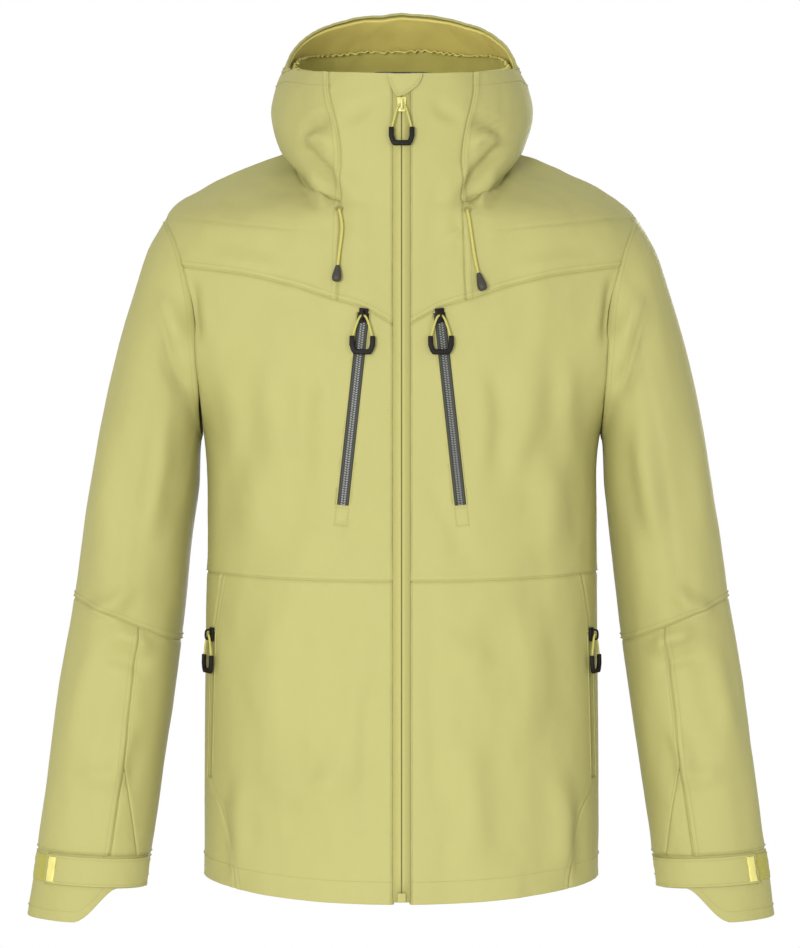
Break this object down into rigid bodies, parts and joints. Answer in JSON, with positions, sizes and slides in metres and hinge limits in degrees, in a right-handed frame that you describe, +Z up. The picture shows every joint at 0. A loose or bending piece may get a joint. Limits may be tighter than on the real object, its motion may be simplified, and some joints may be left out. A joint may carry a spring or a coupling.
{
  "type": "ski jacket",
  "caption": "Hooded shell ski jacket, zipped up, with a front zip, chest and hand pocket zips, hood drawcords, shaped sleeves and hook-and-loop cuff tabs.",
  "frame": {"origin": "hanger loop at the centre of the back neck", "axes": "+Z up, the front of the jacket faces -Y, +X is the wearer's left"},
  "size_m": [0.745, 0.3445, 0.9252],
  "materials": {
    "shell_fabric": "matt plain-weave shell fabric",
    "lining_fabric": "thin plain lining",
    "front_zip": "laminated zip tape",
    "pocket_zip": "dark zip tape with silver-grey teeth",
    "hand_zip": "zip tape in the shell's colour",
    "zip_slider": "satin enamel",
    "pull_cord": "braided cord",
    "pull_grip": "moulded, slightly glossy",
    "cord_tip": "moulded",
    "moulded_strip": "moulded grip",
    "ribbon": "woven ribbon"
  },
  "bodies": {
    "shell": {"centre_panel_left": "shell_fabric", "centre_panel_right": "shell_fabric", "front_yoke_left": "shell_fabric", "front_yoke_right": "shell_fabric", "chest_panel_left": "shell_fabric", "chest_panel_right": "shell_fabric", "front_skirt_left": "shell_fabric", "front_skirt_right": "shell_fabric", "side_panel_left": "shell_fabric", "side_panel_right": "shell_fabric", "back_yoke": "shell_fabric", "back_panel": "shell_fabric", "back_skirt": "shell_fabric", "hood_side_left": "shell_fabric", "hood_side_right": "shell_fabric", "chin_guard": "shell_fabric", "body_lining": "lining_fabric", "storm_flap": "lining_fabric", "chest_pocket_bag_left": "lining_fabric", "chest_pocket_bag_right": "lining_fabric", "hand_pocket_bag_left": "lining_fabric", "hand_pocket_bag_right": "lining_fabric", "main_zip_tape_left": "front_zip", "main_zip_tape_right": "front_zip", "zip_box": "front_zip", "chest_zip_left": "pocket_zip", "chest_zip_right": "pocket_zip", "hand_zip_left": "hand_zip", "hand_zip_right": "hand_zip", "hanger_loop": "ribbon"},
    "hood": {"hood_crown": "shell_fabric", "hood_brim": "shell_fabric", "hood_lining": "lining_fabric"},
    "main_slider": {"main_slider": "zip_slider"},
    "main_pull": {"main_pull_cord": "pull_cord", "main_pull_grip": "pull_grip"},
    "chest_slider_left": {"chest_slider_left": "zip_slider"},
    "chest_pull_left": {"chest_pull_left": "pull_grip"},
    "hand_slider_left": {"hand_slider_left": "zip_slider"},
    "hand_pull_left": {"hand_pull_left": "pull_grip"},
    "drawcord_left": {"hood_cord_left": "pull_cord", "cord_end_left": "cord_tip"},
    "upper_arm_left": {"upper_sleeve_left": "shell_fabric"},
    "lower_arm_left": {"forearm_left": "shell_fabric", "cuff_gusset_left": "shell_fabric", "cuff_left": "shell_fabric"},
    "cuff_tab_left": {"cuff_tab_left": "shell_fabric", "cuff_grip_left": "moulded_strip"},
    "chest_slider_right": {"chest_slider_right": "zip_slider"},
    "chest_pull_right": {"chest_pull_right": "pull_grip"},
    "hand_slider_right": {"hand_slider_right": "zip_slider"},
    "hand_pull_right": {"hand_pull_right": "pull_grip"},
    "drawcord_right": {"hood_cord_right": "pull_cord", "cord_end_right": "cord_tip"},
    "upper_arm_right": {"upper_sleeve_right": "shell_fabric"},
    "lower_arm_right": {"forearm_right": "shell_fabric", "cuff_gusset_right": "shell_fabric", "cuff_right": "shell_fabric"},
    "cuff_tab_right": {"cuff_tab_right": "shell_fabric", "cuff_grip_right": "moulded_strip"}
  },
  "joints": [
    {"name": "hood_tilt", "type": "hinge", "parent": "shell", "child": "hood", "pos_m": [0, 0.01, -0.004], "axis": [-1, 0, 0], "range_deg": [0, 25], "deforming": ["hood_side_left", "hood_side_right"]},
    {"name": "main_zip_slide", "type": "slide", "parent": "shell", "child": "main_slider", "axis": [0, -0.045, -0.999], "range_m": [0, 0.738]},
    {"name": "main_pull_swing", "type": "hinge", "parent": "main_slider", "child": "main_pull", "pos_m": [0, -0.20298, 0.03335], "axis": [-1, 0, 0], "range_deg": [0, 110]},
    {"name": "chest_zip_slide_left", "type": "slide", "parent": "shell", "child": "chest_slider_left", "axis": [0.1076, -0.03, -0.9937], "range_m": [0, 0.172]},
    {"name": "chest_pull_swing_left", "type": "hinge", "parent": "chest_slider_left", "child": "chest_pull_left", "pos_m": [0.03742, -0.2115, -0.17118], "axis": [-0.9905, -0.0889, -0.1045], "range_deg": [0, 110]},
    {"name": "hand_zip_slide_left", "type": "slide", "parent": "shell", "child": "hand_slider_left", "axis": [0.025, 0.0225, -0.9994], "range_m": [0, 0.13]},
    {"name": "hand_pull_swing_left", "type": "hinge", "parent": "hand_slider_left", "child": "hand_pull_left", "pos_m": [0.19063, -0.14446, -0.48232], "axis": [-0.4038, -0.9143, -0.0307], "range_deg": [0, 110]},
    {"name": "drawcord_swing_left", "type": "hinge", "parent": "shell", "child": "drawcord_left", "pos_m": [0.0635, -0.1992, -0.069], "axis": [-1, 0, 0], "range_deg": [0, 60]},
    {"name": "shoulder_lift_left", "type": "hinge", "parent": "shell", "child": "upper_arm_left", "pos_m": [0.2375, -0.087, -0.066], "axis": [0, -1, 0], "range_deg": [0, 40]},
    {"name": "elbow_bend_left", "type": "hinge", "parent": "upper_arm_left", "child": "lower_arm_left", "pos_m": [0.27405, -0.1541, -0.4685], "axis": [-0.928, 0, -0.3726], "range_deg": [0, 60]},
    {"name": "cuff_tab_peel_left", "type": "hinge", "parent": "lower_arm_left", "child": "cuff_tab_left", "pos_m": [0.2515, -0.1183, -0.717], "axis": [0.128, -0.046, -0.9907], "range_deg": [0, 100]},
    {"name": "chest_zip_slide_right", "type": "slide", "parent": "shell", "child": "chest_slider_right", "axis": [-0.1076, -0.03, -0.9937], "range_m": [0, 0.172]},
    {"name": "chest_pull_swing_right", "type": "hinge", "parent": "chest_slider_right", "child": "chest_pull_right", "pos_m": [-0.03742, -0.2115, -0.17118], "axis": [-0.9905, 0.0889, 0.1045], "range_deg": [0, 110]},
    {"name": "hand_zip_slide_right", "type": "slide", "parent": "shell", "child": "hand_slider_right", "axis": [-0.025, 0.0225, -0.9994], "range_m": [0, 0.13]},
    {"name": "hand_pull_swing_right", "type": "hinge", "parent": "hand_slider_right", "child": "hand_pull_right", "pos_m": [-0.19063, -0.14446, -0.48232], "axis": [-0.4038, 0.9143, 0.0307], "range_deg": [0, 110]},
    {"name": "drawcord_swing_right", "type": "hinge", "parent": "shell", "child": "drawcord_right", "pos_m": [-0.0605, -0.1994, -0.068], "axis": [-1, 0, 0], "range_deg": [0, 60]},
    {"name": "shoulder_lift_right", "type": "hinge", "parent": "shell", "child": "upper_arm_right", "pos_m": [-0.2375, -0.087, -0.066], "axis": [0, 1, 0], "range_deg": [0, 40]},
    {"name": "elbow_bend_right", "type": "hinge", "parent": "upper_arm_right", "child": "lower_arm_right", "pos_m": [-0.27405, -0.1541, -0.4685], "axis": [-0.928, 0, 0.3726], "range_deg": [0, 60]},
    {"name": "cuff_tab_peel_right", "type": "hinge", "parent": "lower_arm_right", "child": "cuff_tab_right", "pos_m": [-0.2515, -0.1183, -0.717], "axis": [0.128, 0.046, 0.9907], "range_deg": [0, 100]}
  ]
}
